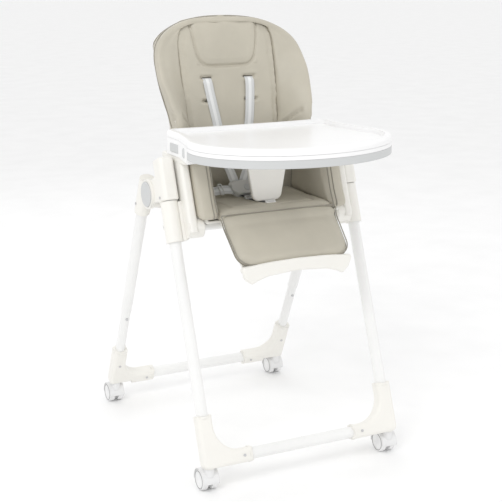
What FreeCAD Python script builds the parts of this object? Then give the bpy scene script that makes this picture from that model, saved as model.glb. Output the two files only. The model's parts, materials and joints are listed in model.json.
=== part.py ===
import FreeCAD, Part
import os
import re
import Sketcher

# Folding high chair with a height-adjustable, reclining seat, a two-part tray and four twin-wheel castors.
# Millimetres. The chair faces -Y, +Z is up, X = 0 is its plane of symmetry and the castors stand on Z = 0.
# "l" and "r" are the occupant's left (+X) and right (-X).

os.makedirs("parts", exist_ok=True)
doc = FreeCAD.newDocument("high_chair")
sheet = doc.addObject("Spreadsheet::Sheet", "Sizes")

SIZES = [
    # frame
    ("hub_y", 25, "fold axis, from the middle of the footprint"),
    ("hub_z", 650, "height of the fold axis"),
    ("hub_radius", 36, "outer radius of the fold hub"),
    ("hub_inner_x", 226, "inner face of the fold hub"),
    ("hub_outer_x", 268, "outer face of the fold hub"),
    ("housing_outer_x", 262, "outer face of the moulding on top of a front leg"),
    ("hub_slot_inner_x", 238.6, "inner wall of the slot for the rear leg's ear"),
    ("hub_slot_outer_x", 257.4, "outer wall of that slot"),
    ("hub_pin_radius", 6, "fold axle"),
    ("front_lean", 20.8, "front legs, degrees from vertical"),
    ("rear_lean", 24.8, "rear legs, degrees from vertical"),
    ("front_offset", 75, "front leg's axis ahead of the fold axis"),
    ("rear_offset", 47, "rear leg's axis behind the fold axis"),
    ("front_leg_x", 244, "front leg's axis from the middle"),
    ("rear_leg_x", 250, "rear leg's axis from the middle"),
    ("leg_radius", 14, "front legs, upper rear legs and cross tubes"),
    ("lower_leg_radius", 12.4, "lower rear legs, which plug into the upper ones"),
    ("tube_wall", 1.5, "wall of every frame tube"),
    ("front_bar_drop", 646, "front cross tube, down the leg from the hub"),
    ("rear_bar_drop", 662, "rear cross tube, down the leg from the hub"),
    ("front_socket_drop", 539, "top of the front corner piece, down the leg"),
    ("rear_socket_drop", 551, "top of the rear corner piece, down the leg"),
    ("rear_joint_drop", 409, "bottom of the upper rear tube, down the leg"),
    ("front_bar_x", 136, "inner end of the front corner piece"),
    ("rear_bar_x", 139, "inner end of the rear corner piece"),
    ("corner_half", 18.5, "half the thickness of a corner piece"),
    ("screw_radius", 3.4, "screw heads"),
    # fits
    ("pin_gap", 0.06, "radial clearance of a pin or stem in its bore"),
    ("glide_gap", 0.35, "clearance of a part that slides past another"),
    # seat carriage and its sleeves on the front legs
    ("sleeve_radius", 20.5, "outside of the sleeve that slides on the leg"),
    ("sleeve_low", -132, "bottom of the sleeve, along the leg from the hub"),
    ("sleeve_high", -34.5, "top of the sleeve"),
    ("column_inner_x", 197, "inner face of the carriage column"),
    ("column_outer_x", 219.5, "outer face of the carriage column"),
    ("boss_y", -20, "cross tube boss, across the leg"),
    ("boss_z", -104, "cross tube boss, along the leg"),
    ("boss_radius", 24, "cross tube boss"),
    ("boss_inner_x", 181, "inner end of the boss"),
    ("seat_tube_radius", 9, "cross tube under the seat"),
    ("armrest_top", 749.5, "top of the rail that carries the tray"),
    # seat
    ("seat_floor", 598, "underside of the seat shell"),
    ("seat_front", -128, "front edge of the seat shell"),
    ("seat_rear", 118, "rear edge of the seat shell"),
    ("shell_wall", 6, "wall of the seat shell"),
    ("cushion_top", 624, "top of the seat cushion"),
    ("side_top", 740, "top of the seat's side walls"),
    ("pad_inner_x", 154, "inner face of a side pad"),
    ("buckle_tilt", 42, "degrees the harness buckle's face leans forward from level"),
    ("buckle_half", 8.5, "half the buckle's thickness"),
    # backrest
    ("back_pivot_y", 108, "recline axis"),
    ("back_pivot_z", 612, "recline axis"),
    ("back_pin_radius", 4, "recline hinge pins"),
    ("back_lean", 10.5, "backrest, degrees from vertical"),
    ("back_height", 450, "top of the backrest shell, from the recline axis"),
    ("back_shell", 12, "thickness of the backrest shell's back"),
    ("back_pad_front", -22, "front face of the back cushion"),
    ("strap_inner_x", 48, "inner edge of a shoulder strap"),
    ("strap_width", 25, "harness webbing"),
    ("wing_turn", 17.5, "degrees the wings' outer faces lean back from the backrest"),
    ("wing_start", 150, "where those faces begin, up the wing's own axis"),
    # leg rest
    ("calf_pivot_y", -146, "leg rest axis"),
    ("calf_pivot_z", 596, "leg rest axis"),
    ("calf_pin_radius", 3, "leg rest hinge pins"),
    ("calf_lean", 46, "leg rest, degrees from hanging straight down"),
    ("calf_length", 122, "leg rest pad, from its axis to its lower edge"),
    ("foot_front", -252, "front face of the footrest"),
    ("foot_rear", -206, "rear face of the footrest"),
    # tray
    ("tray_front", -388.3, "front edge of the tray"),
    ("tray_half", 249, "half the tray's greatest width"),
    ("tray_wide_y", -205, "where the tray is widest"),
    ("tray_waist", 221.5, "half the tray's width between the legs"),
    ("tray_waist_y", -66, "front end of that narrow part"),
    ("tray_rear", 30, "rear edge of the tray"),
    ("tray_cheek_low", 750, "underside of the tray's arms"),
    ("tray_low", 762, "underside of the tray and of its rim band"),
    ("rim_top", 780, "top of the rim band"),
    ("tray_split", 789.5, "top of the tray base"),
    ("tray_top_low", 790, "underside of the lift-off tray top"),
    ("tray_high", 805, "top of the lift-off tray top"),
    ("rim_depth", 4, "thickness of the rim band"),
    # castors
    ("wheel_radius", 25, "castor wheel"),
    ("wheel_inner_x", 5.2, "inner face of a wheel, from the middle of its castor"),
    ("wheel_outer_x", 20, "outer face of a wheel"),
    ("castor_trail", 15, "wheel axle behind the swivel axis"),
    ("hood_radius", 28, "castor hood"),
    ("neck_top", 57.5, "top of the castor's neck"),
    ("stem_radius", 5.5, "castor stem"),
    ("axle_radius", 3, "castor axle"),
]

for row, (alias, value, note) in enumerate(SIZES, start=1):
    sheet.set(f"A{row}", alias)
    sheet.set(f"B{row}", str(value))
    sheet.set(f"C{row}", note)
    sheet.setAlias(f"B{row}", alias)
doc.recompute()

ALIASES = {alias for alias, value, note in SIZES}
X_AXIS = FreeCAD.Vector(1, 0, 0)
Y_AXIS = FreeCAD.Vector(0, 1, 0)


def linked(text):
    """An expression with each size name pointed at the sheet."""
    return re.sub(r"[a-z][a-z0-9_]*", lambda w: f"Sizes.{w[0]}" if w[0] in ALIASES else w[0], str(text))


def number(text):
    return float(sheet.evalExpression(linked(text)))


def bind(item, **properties):
    for name, text in properties.items():
        item.setExpression(name, linked(text))


# Each leaned part of the chair has its own tilted axes: (y of origin, z of origin, turn about X).
WORLD = ("0", "0", "0")
FRONT = (
    "hub_y - front_offset * cos(front_lean * 1deg)",
    "hub_z + front_offset * sin(front_lean * 1deg)",
    "-front_lean",
)
REAR = (
    "hub_y + rear_offset * cos(rear_lean * 1deg)",
    "hub_z + rear_offset * sin(rear_lean * 1deg)",
    "rear_lean",
)
BACK = ("back_pivot_y", "back_pivot_z", "-back_lean")
WING = ("back_pivot_y", "back_pivot_z", "-(back_lean + wing_turn)")
CALF = ("calf_pivot_y", "calf_pivot_z", "-calf_lean")
HARNESS = ("-2", "cushion_top + 24", "buckle_tilt")


def world_yz(frame, y, z):
    """Expressions for the world position of a point given in a tilted frame."""
    base_y, base_z, turn = frame
    if frame is WORLD:
        return f"{y}", f"{z}"
    cosine = f"cos(({turn}) * 1deg)"
    sine = f"sin(({turn}) * 1deg)"
    return (
        f"{base_y} + ({y}) * {cosine} - ({z}) * {sine}",
        f"{base_z} + ({y}) * {sine} + ({z}) * {cosine}",
    )


def place(item, frame, x, y, z, along="z"):
    """Put an item at a point of a frame. A cylinder points along z, x or y of that frame."""
    world_y, world_z = world_yz(frame, y, z)
    turn = frame[2]
    if along == "x":
        item.Placement = FreeCAD.Placement(FreeCAD.Vector(), FreeCAD.Rotation(Y_AXIS, 90))
    else:
        item.Placement = FreeCAD.Placement(FreeCAD.Vector(), FreeCAD.Rotation(X_AXIS, 1))
        quarter = " - 90" if along == "y" else ""
        item.setExpression("Placement.Rotation.Angle", linked(f"{turn}{quarter}"))
    item.setExpression("Placement.Base.x", linked(x))
    item.setExpression("Placement.Base.y", linked(world_y))
    item.setExpression("Placement.Base.z", linked(world_z))
    return item


def box(name, x, y, z, frame=WORLD):
    """A box between two expressions on each axis of a frame."""
    item = doc.addObject("Part::Box", name)
    bind(item, Length=f"({x[1]}) - ({x[0]})", Width=f"({y[1]}) - ({y[0]})", Height=f"({z[1]}) - ({z[0]})")
    return place(item, frame, x[0], y[0], z[0])


def rod_x(name, radius, x, y, z, frame=WORLD):
    """A cylinder along X."""
    item = doc.addObject("Part::Cylinder", name)
    bind(item, Radius=radius, Height=f"({x[1]}) - ({x[0]})")
    return place(item, frame, x[0], y, z, along="x")


def rod_z(name, radius, x, y, z, frame=WORLD):
    """A cylinder along the frame's own z."""
    item = doc.addObject("Part::Cylinder", name)
    bind(item, Radius=radius, Height=f"({z[1]}) - ({z[0]})")
    return place(item, frame, x, y, z[0])


def rod_y(name, radius, x, y, z, frame=WORLD):
    """A cylinder along the frame's own y."""
    item = doc.addObject("Part::Cylinder", name)
    bind(item, Radius=radius, Height=f"({y[1]}) - ({y[0]})")
    return place(item, frame, x, y[0], z, along="y")


def across(hand, low, high):
    """An interval of X on the left (+X) side, mirrored for the right."""
    return (low, high) if hand == "l" else (f"-({high})", f"-({low})")


def side_x(hand, x):
    return x if hand == "l" else f"-({x})"


def fuse(name, *items):
    item = doc.addObject("Part::MultiFuse", name)
    item.Shapes = list(items)
    return item


def common(name, *items):
    item = doc.addObject("Part::MultiCommon", name)
    item.Shapes = list(items)
    return item


def cut(name, base, *tools):
    """The base less its tools, checked to be smaller than the base."""
    item = doc.addObject("Part::Cut", name)
    item.Base = base
    item.Tool = tools[0] if len(tools) == 1 else fuse(name + "_tools", *tools)
    doc.recompute()
    if item.Shape.Volume > base.Shape.Volume - 1e-3:
        raise ValueError(f"{name}: the cut removed nothing")
    return item


PLANES = {"xy": "XY_Plane", "xz": "XZ_Plane", "yz": "YZ_Plane"}


def outline(body, name, plane, corners, start):
    """A closed sketch on one of the body's origin planes, each corner held by two driven distances."""
    sketch = body.newObject("Sketcher::SketchObject", name)
    support = [f for f in body.Origin.OriginFeatures if f.Role == PLANES[plane]][0]
    sketch.AttachmentSupport = [(support, "")]
    sketch.MapMode = "FlatFace"
    sketch.setExpression("AttachmentOffset.Base.z", linked(start))
    points = [FreeCAD.Vector(number(c[0]), number(c[1]), 0) for c in corners]
    for here, there in zip(points, points[1:] + points[:1]):
        sketch.addGeometry(Part.LineSegment(here, there), False)
    for index in range(len(points)):
        sketch.addConstraint(Sketcher.Constraint("Coincident", index, 2, (index + 1) % len(points), 1))
    for index, corner in enumerate(corners):
        for kind, text, value in zip(("DistanceX", "DistanceY"), corner, points[index]):
            which = sketch.addConstraint(Sketcher.Constraint(kind, -1, 1, index, 1, value))
            sketch.setExpression(f"Constraints[{which}]", linked(text))
    return sketch


def prism(name, plane, corners, low, high, frame=WORLD):
    """A padded outline between two levels. Corners are (u, v) or (u, v, radius) for a rounded corner."""
    body = doc.addObject("PartDesign::Body", name)
    start = f"-({high})" if plane == "xz" else low
    sketch = outline(body, name + "_outline", plane, corners, start)
    pad = body.newObject("PartDesign::Pad", name + "_pad")
    pad.Profile = sketch
    bind(pad, Length=f"({high}) - ({low})")
    doc.recompute()
    radii = sorted({corner[2] for corner in corners if len(corner) == 3})
    for turn, radius in enumerate(radii):
        spots = [(number(c[0]), number(c[1])) for c in corners if len(c) == 3 and c[2] == radius]
        found = []
        for index, edge in enumerate(body.Shape.Edges, start=1):
            ends = [flat(vertex.Point, plane) for vertex in edge.Vertexes]
            if len(ends) == 2 and near(ends[0], ends[1]) and any(near(ends[0], spot) for spot in spots):
                found.append(f"Edge{index}")
        if len(found) != len(spots):
            raise ValueError(f"{name}: {len(found)} of {len(spots)} corners found")
        rounding(body, f"{name}_round_{turn}", found, radius)
    place(body, frame, "0", "0", "0")
    doc.recompute()
    return body


def flat(point, plane):
    """The two coordinates of a point that lie in a plane."""
    return {"xy": (point.x, point.y), "xz": (point.x, point.z), "yz": (point.y, point.z)}[plane]


def near(one, other):
    return abs(one[0] - other[0]) < 1e-4 and abs(one[1] - other[1]) < 1e-4


def rounding(body, name, edges, radius):
    """Fillet some edges of a body's latest feature."""
    latest = body.Tip
    feature = body.newObject("PartDesign::Fillet", name)
    feature.Base = (latest, edges)
    bind(feature, Radius=radius)
    body.Tip = feature
    doc.recompute()
    if "Invalid" in feature.State:
        raise ValueError(f"{name}: the edges can't be rounded by {radius}")


def rim_edges(body, plane, levels):
    """The edges of a body that lie in planes at some levels across its outline's plane."""
    axis = {"xy": 2, "xz": 1, "yz": 0}[plane]
    back = body.Placement.inverse()
    found = []
    for index, edge in enumerate(body.Shape.Edges, start=1):
        spots = [back.multVec(edge.valueAt(t)) for t in (edge.FirstParameter, edge.LastParameter)]
        spots.append(back.multVec(edge.valueAt((edge.FirstParameter + edge.LastParameter) / 2)))
        if any(all(abs(spot[axis] - level) < 1e-4 for spot in spots) for level in levels):
            found.append(f"Edge{index}")
    return found


def soften(body, plane, radius, *levels):
    """Round the edges of a prism's end faces."""
    levels = [number(level) for level in levels]
    rounding(body, body.Name + "_soft", rim_edges(body, plane, levels), radius)
    return body


def rounded_rims(name, base, radius, levels):
    """A cylinder along X with the rims at some levels of X rounded."""
    doc.recompute()
    levels = [number(level) for level in levels]
    shape = doc.addObject("Part::Fillet", name)
    shape.Base = base
    shape.Edges = [
        (index, radius, radius)
        for index, edge in enumerate(base.Shape.Edges, start=1)
        if any(abs(edge.CenterOfMass.x - level) < 1e-4 for level in levels)
    ]
    return shape


NODES = {}


def node(name, item):
    """Keep an item as one sub-part under its own name."""
    item.Label = name
    NODES[name] = item
    return item


def mirrored(points, hand):
    """A left-hand outline whose first coordinate is X, turned over for the right."""
    return [(side_x(hand, c[0]),) + tuple(c[1:]) for c in points]


# ---------------------------------------------------------------- front frame


def leg_tube(name, radius, x, low, high, frame):
    """A round tube along a leg."""
    outside = rod_z(name + "_outside", radius, x, "0", (low, high), frame)
    inside = rod_z(name + "_inside", f"{radius} - tube_wall", x, "0", (f"{low} - 1", f"{high} + 1"), frame)
    return cut(name, outside, inside)


def cross_tube(name, radius, half, y, z, frame):
    """A round tube from side to side."""
    outside = rod_x(name + "_outside", radius, (f"-({half})", half), y, z, frame)
    past_ends = (f"-({half}) - 1", f"{half} + 1")
    inside = rod_x(name + "_inside", f"{radius} - tube_wall", past_ends, y, z, frame)
    return cut(name, outside, inside)


def corner_piece(name, hand, frame, leg_x, leg_radius, bar_x, bar_drop, socket_drop, inner_round):
    """An elbow that joins a leg to its cross tube and takes a castor's stem from below."""
    inner = f"{leg_x} - corner_half"
    outer = f"{leg_x} + corner_half"
    shape = [
        (inner, f"-{socket_drop}"),
        (outer, f"-{socket_drop}"),
        (outer, f"-{bar_drop} - 17", "14"),
        (bar_x, f"-{bar_drop} - 17"),
        (bar_x, f"-{bar_drop} + 17"),
        (inner, f"-{bar_drop} + 17", inner_round),
    ]
    elbow = prism(name + "_elbow", "xz", mirrored(shape, hand), "-17.5", "17.5", frame)
    soften(elbow, "xz", "9", "-17.5", "17.5")
    x = side_x(hand, leg_x)
    swivel_y, bar_z = world_yz(frame, "0", f"-{bar_drop}")
    collar_x = across(hand, f"{bar_x} + 3", f"{bar_x} + 9")
    collar = rod_x(name + "_collar", "19", collar_x, "0", f"-{bar_drop}", frame)
    ring = rod_z(name + "_ring", "19.2", x, "0", (f"-{socket_drop} - 8", f"-{socket_drop} - 2"), frame)
    seat = rod_z(name + "_seat", "14", x, swivel_y, ("neck_top + 0.5", bar_z))
    solid = fuse(name + "_solid", elbow, collar, ring, seat)
    castor_room = rod_z(name + "_castor_room", "46", x, swivel_y, ("wheel_radius", "neck_top + 0.5"))
    leg_reach = (f"-{bar_drop} + 34", "0")
    leg_bore = rod_z(name + "_leg_bore", f"{leg_radius} + pin_gap", x, "0", leg_reach, frame)
    bar_bore = rod_x(
        name + "_bar_bore", "leg_radius + pin_gap", across(hand, f"{bar_x} - 1", f"{bar_x} + 40"),
        "0", f"-{bar_drop}", frame,
    )
    stem_reach = ("neck_top", "neck_top + 31")
    stem_bore = rod_z(name + "_stem_bore", "stem_radius + pin_gap", x, swivel_y, stem_reach)
    return cut(name, solid, leg_bore, bar_bore, stem_bore, castor_room)


def bar_screw(name, x, z, frame):
    """A screw head on the front of a corner piece."""
    return rod_y(name, "screw_radius", x, ("-19", "-17.5"), z, frame)


def hub_housing(hand):
    """The moulding round the top of a front leg, with the two outer ears of the fold hub."""
    name = f"hub_housing_{hand}"
    leg_x = side_x(hand, "front_leg_x")
    shell = [
        ("224", "-24", "11"),
        ("housing_outer_x", "-24", "11"),
        ("housing_outer_x", "24", "8"),
        ("224", "24", "8"),
    ]
    block = prism(name + "_block", "xy", mirrored(shell, hand), "-33", "70", FRONT)
    soften(block, "xy", "5", "-33", "70")
    web_x = across(hand, "hub_inner_x", "housing_outer_x")
    web = box(name + "_web", web_x, ("15", "62"), ("-27", "30"), FRONT)
    hub_x = across(hand, "hub_inner_x", "hub_outer_x")
    barrel = rod_x(name + "_barrel", "hub_radius", hub_x, "front_offset", "0", FRONT)
    solid = fuse(name + "_solid", block, web, barrel)
    slot = rod_x(
        name + "_slot", "hub_radius + 4", across(hand, "hub_slot_inner_x", "hub_slot_outer_x"),
        "front_offset", "0", FRONT,
    )
    leg_bore = rod_z(name + "_leg_bore", "leg_radius + pin_gap", leg_x, "0", ("-34", "64.5"), FRONT)
    bore_x = across(hand, "220", "270")
    pin_bore = rod_x(name + "_pin_bore", "hub_pin_radius + pin_gap", bore_x, "front_offset", "0", FRONT)
    well_x = across(hand, "housing_outer_x", "270")
    button_well = rod_x(name + "_well", "30.8", well_x, "front_offset", "0", FRONT)
    return cut(name, solid, slot, leg_bore, pin_bore, button_well)


def front_frame():
    for hand in "lr":
        leg = f"front_leg_tube_{hand}"
        leg_x = side_x(hand, "front_leg_x")
        node(leg, leg_tube(leg, "leg_radius", leg_x, "-front_bar_drop + 36", "64", FRONT))
        node(f"hub_housing_{hand}", hub_housing(hand))
        node(
            f"front_corner_{hand}",
            corner_piece(
                f"front_corner_{hand}", hand, FRONT, "front_leg_x", "leg_radius", "front_bar_x",
                "front_bar_drop", "front_socket_drop", "62",
            ),
        )
    bar = cross_tube("front_cross_tube", "leg_radius", "front_bar_x + 38", "0", "-front_bar_drop", FRONT)
    node("front_cross_tube", bar)
    axles = []
    heads = []
    for hand in "lr":
        reach = across(hand, "hub_inner_x + 1", "261.8")
        axles.append(rod_x(f"hub_axle_{hand}", "hub_pin_radius", reach, "front_offset", "0", FRONT))
        head_x = across(hand, "housing_outer_x", "housing_outer_x + 1.4")
        heads.append(rod_x(f"housing_screw_{hand}", "screw_radius", head_x, "6", "-22", FRONT))
        bar_x = side_x(hand, "front_bar_x + 24")
        heads.append(bar_screw(f"front_bar_screw_{hand}", bar_x, "-front_bar_drop", FRONT))
    node("hub_axles", fuse("hub_axles", *axles))
    node("front_frame_screws", fuse("front_frame_screws", *heads))


# ----------------------------------------------------------------- rear frame


def rear_socket(hand):
    """The moulding on top of a rear leg, with the middle ear of the fold hub."""
    name = f"rear_leg_socket_{hand}"
    leg_x = side_x(hand, "rear_leg_x")
    ear_x = across(hand, "hub_slot_inner_x + 0.4", "hub_slot_outer_x - 0.4")
    ear = rod_x(name + "_ear", "hub_radius - 2", ear_x, "-rear_offset", "0", REAR)
    web = box(name + "_web", ear_x, ("-rear_offset + 5", "0"), ("-34", "10"), REAR)
    cup = rod_z(name + "_cup", "19.5", leg_x, "0", ("-88", "12"), REAR)
    solid = fuse(name + "_solid", ear, web, cup)
    inner_x = across(hand, "220", "hub_slot_inner_x + 0.4")
    outer_x = across(hand, "hub_slot_outer_x - 0.4", "275")
    bore_x = across(hand, "230", "265")
    inner_room = rod_x(name + "_inner_room", "hub_radius + 1.5", inner_x, "-rear_offset", "0", REAR)
    outer_room = rod_x(name + "_outer_room", "hub_radius + 1.5", outer_x, "-rear_offset", "0", REAR)
    pin_bore = rod_x(name + "_pin_bore", "hub_pin_radius + pin_gap", bore_x, "-rear_offset", "0", REAR)
    leg_bore = rod_z(name + "_leg_bore", "leg_radius + pin_gap", leg_x, "0", ("-89", "-23.5"), REAR)
    seat_x = across(hand, "269", "271")
    screw_seat = rod_x(name + "_screw_seat", "screw_radius + 0.6", seat_x, "2", "-62", REAR)
    return cut(name, solid, inner_room, outer_room, pin_bore, leg_bore, screw_seat)


def rear_frame():
    for hand in "lr":
        leg_x = side_x(hand, "rear_leg_x")
        upper = f"rear_upper_tube_{hand}"
        node(upper, leg_tube(upper, "leg_radius", leg_x, "-rear_joint_drop", "-24", REAR))
        lower = f"rear_lower_tube_{hand}"
        button_hole = rod_y(lower + "_hole", "3.7", leg_x, ("-20", "0"), "-rear_joint_drop - 25", REAR)
        low, high = "-rear_bar_drop + 36", "-rear_joint_drop + 60"
        plain = leg_tube(lower + "_plain", "lower_leg_radius", leg_x, low, high, REAR)
        node(lower, cut(lower, plain, button_hole))
        node(f"rear_leg_socket_{hand}", rear_socket(hand))
        node(
            f"rear_corner_{hand}",
            corner_piece(
                f"rear_corner_{hand}", hand, REAR, "rear_leg_x", "lower_leg_radius", "rear_bar_x",
                "rear_bar_drop", "rear_socket_drop", "48",
            ),
        )
        button = f"rear_tube_button_{hand}"
        stud = rod_y(button + "_stud", "3.5", leg_x, ("-15", "-9"), "-rear_joint_drop - 25", REAR)
        foot = rod_y(button + "_foot", "5.5", leg_x, ("-9", "-7.5"), "-rear_joint_drop - 25", REAR)
        node(button, fuse(button, stud, foot))
    bar = cross_tube("rear_cross_tube", "leg_radius", "rear_bar_x + 38", "0", "-rear_bar_drop", REAR)
    node("rear_cross_tube", bar)
    heads = []
    for hand in "lr":
        head_x = across(hand, "269", "270.8")
        heads.append(rod_x(f"socket_screw_{hand}", "screw_radius", head_x, "2", "-62", REAR))
        leg_x = side_x(hand, "rear_leg_x")
        heads.append(bar_screw(f"rear_leg_screw_{hand}", leg_x, "-rear_bar_drop + 60", REAR))
        bar_x = side_x(hand, "rear_bar_x + 24")
        heads.append(bar_screw(f"rear_bar_screw_{hand}", bar_x, "-rear_bar_drop", REAR))
    node("rear_frame_screws", fuse("rear_frame_screws", *heads))


def fold_buttons():
    for hand in "lr":
        name = f"fold_button_{hand}"
        disc = rod_x(name + "_disc", "30.4", across(hand, "265.4", "271.4"), "front_offset", "0", FRONT)
        node(name, rounded_rims(name, disc, 2, [side_x(hand, "271.4")]))


# ---------------------------------------------------------------- seat carriage


def carriage(hand):
    """Sleeve on the front leg, column beside it, cross tube boss and the rail that carries the tray."""
    name = f"carriage_{hand}"
    leg_x = side_x(hand, "front_leg_x")
    sleeve = rod_z(name + "_sleeve", "sleeve_radius", leg_x, "0", ("sleeve_low", "sleeve_high"), FRONT)
    shape = [
        ("column_inner_x", "-46", "8"),
        ("column_outer_x", "-46", "8"),
        ("column_outer_x", "22", "5"),
        ("column_inner_x", "22", "5"),
    ]
    column = prism(name + "_column", "xy", mirrored(shape, hand), "sleeve_low + 14", "58", FRONT)
    web_x = across(hand, "column_outer_x - 6", "228")
    web = box(name + "_web", web_x, ("-15", "15"), ("sleeve_low + 2", "sleeve_high - 3"), FRONT)
    boss_x = across(hand, "boss_inner_x", "column_outer_x")
    boss = rod_x(name + "_boss", "boss_radius", boss_x, "boss_y", "boss_z", FRONT)
    rail_shape = [
        ("196", "-95", "8"),
        ("220.5", "-95", "8"),
        ("220.5", "45", "10"),
        ("196", "45", "10"),
    ]
    rail = prism(name + "_rail", "xy", mirrored(rail_shape, hand), "armrest_top - 14", "armrest_top")
    soften(rail, "xy", "3", "armrest_top - 14", "armrest_top")
    lug_x = [across(hand, "232", "237"), across(hand, "251", "256")]
    lugs = [box(f"{name}_lug_{i}", lug_x[i], ("12", "31"), ("-96", "-84"), FRONT) for i in range(2)]
    solid = fuse(name + "_solid", sleeve, column, web, boss, rail, *lugs)
    bore_z = ("sleeve_low - 1", "sleeve_high + 1")
    leg_bore = rod_z(name + "_leg_bore", "leg_radius + glide_gap", leg_x, "0", bore_z, FRONT)
    tube_x = across(hand, "boss_inner_x - 1", "206")
    tube_bore = rod_x(name + "_tube_bore", "seat_tube_radius + pin_gap", tube_x, "boss_y", "boss_z", FRONT)
    pin_bore = rod_x(name + "_pin_bore", "2.5 + pin_gap", across(hand, "230", "258"), "26.5", "-90", FRONT)
    return cut(name, solid, leg_bore, tube_bore, pin_bore)


def height_lever(hand):
    """Wedge-shaped trigger behind the sleeve, squeezed to let the seat slide."""
    name = f"height_lever_{hand}"
    shape = [
        ("23.5", "-94"),
        ("30", "-94"),
        ("40", "-53", "3"),
        ("38", "-42", "2"),
        ("28", "-42", "2"),
        ("23.5", "-84"),
    ]
    low, high = across(hand, "238", "250")
    blade = prism(name + "_blade", "yz", shape, low, high, FRONT)
    pin = rod_x(name + "_pin", "2.5", across(hand, "232", "256"), "26.5", "-90", FRONT)
    return fuse(name, blade, pin)


def calf_rod(name, radius, hand, low, high):
    """A cylinder on the leg rest's axis."""
    return rod_x(name, radius, across(hand, low, high), "calf_pivot_y", "calf_pivot_z")


def back_rod(name, radius, hand, low, high):
    """A cylinder on the recline axis."""
    return rod_x(name, radius, across(hand, low, high), "back_pivot_y", "back_pivot_z")


def seat_shell():
    """Moulded seat bucket: floor, ledges, side walls, hinge lugs front and rear and two tube saddles."""
    section = [
        ("-193", "side_top", "2"),
        ("-193", "612.5"),
        ("-179", "612.5"),
        ("-179", "seat_floor", "4"),
        ("179", "seat_floor", "4"),
        ("179", "612.5"),
        ("193", "612.5"),
        ("193", "side_top", "2"),
        ("193 - shell_wall", "side_top", "2"),
        ("193 - shell_wall", "612.5 + shell_wall"),
        ("179 - shell_wall", "612.5 + shell_wall"),
        ("179 - shell_wall", "seat_floor + shell_wall"),
        ("-179 + shell_wall", "seat_floor + shell_wall"),
        ("-179 + shell_wall", "612.5 + shell_wall"),
        ("-193 + shell_wall", "612.5 + shell_wall"),
        ("-193 + shell_wall", "side_top", "2"),
    ]
    trough = prism("seat_trough", "xz", section, "seat_front", "seat_rear")
    profile = [
        ("seat_front", "seat_floor - 1", "3"),
        ("seat_rear", "seat_floor - 1", "3"),
        ("seat_rear", "seat_floor + 30", "12"),
        ("82", "seat_floor + 46", "20"),
        ("72", "side_top + 1", "25"),
        ("-78", "side_top + 1", "25"),
        ("-116", "seat_floor + 40", "20"),
    ]
    side_profile = prism("seat_side_profile", "yz", profile, "-200", "200")
    trimmed = common("seat_trimmed", trough, side_profile)
    extras = []
    for hand in "lr":
        reach = across(hand, "98", "108")
        lug_x = across(hand, "141", "150")
        lug_y = ("back_pivot_y - 14", "seat_rear")
        arm_y = ("calf_pivot_y", "seat_front + 2")
        extras.append(box(f"calf_lug_arm_{hand}", reach, arm_y, ("592", "603")))
        extras.append(rod_x(f"calf_lug_eye_{hand}", "7", reach, "calf_pivot_y", "calf_pivot_z"))
        extras.append(box(f"back_lug_{hand}", lug_x, lug_y, ("seat_floor", "628")))
        saddle_x = across(hand, "120", "136")
        extras.append(box(f"saddle_{hand}", saddle_x, ("-117", "-85"), ("587", "seat_floor + 1")))
    solid = fuse("seat_shell_solid", trimmed, *extras)
    tube_y, tube_z = world_yz(FRONT, "boss_y", "boss_z")
    tools = [rod_x("saddle_bore", "seat_tube_radius + pin_gap", ("-140", "140"), tube_y, tube_z)]
    for hand in "lr":
        tools.append(calf_rod(f"calf_pin_bore_{hand}", "calf_pin_radius + pin_gap", hand, "97", "109"))
        tools.append(back_rod(f"back_pin_bore_{hand}", "back_pin_radius + pin_gap", hand, "140", "151"))
    return cut("seat_shell", solid, *tools)


def side_pad(hand):
    """Upright cushion inside a side wall of the seat."""
    profile = [
        ("-126", "619.3", "6"),
        ("74", "619.3", "6"),
        ("68", "746", "30"),
        ("-86", "746", "30"),
        ("-118", "650", "30"),
    ]
    low, high = across(hand, "pad_inner_x", "193 - shell_wall - 0.4")
    pad = prism(f"side_pad_{hand}", "yz", profile, low, high)
    return soften(pad, "yz", "5", low, high)


def seat_unit():
    for hand in "lr":
        node(f"carriage_{hand}", carriage(hand))
        node(f"height_lever_{hand}", height_lever(hand))
        node(f"side_pad_{hand}", side_pad(hand))
    tube_y, tube_z = world_yz(FRONT, "boss_y", "boss_z")
    node("seat_cross_tube", cross_tube("seat_cross_tube", "seat_tube_radius", "205", tube_y, tube_z, WORLD))
    node("seat_shell", seat_shell())
    corners = [
        ("-151", "-146.5", "14"),
        ("151", "-146.5", "14"),
        ("151", "84", "10"),
        ("-151", "84", "10"),
    ]
    cushion = prism("seat_cushion", "xy", corners, "seat_floor + shell_wall + 0.3", "cushion_top")
    node("seat_cushion", soften(cushion, "xy", "6", "cushion_top"))
    pins = []
    for hand in "lr":
        pins.append(calf_rod(f"calf_pin_{hand}", "calf_pin_radius", hand, "98", "124"))
        pins.append(back_rod(f"back_pin_{hand}", "back_pin_radius", hand, "120", "151"))
    node("seat_hinge_pins", fuse("seat_hinge_pins", *pins))


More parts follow.
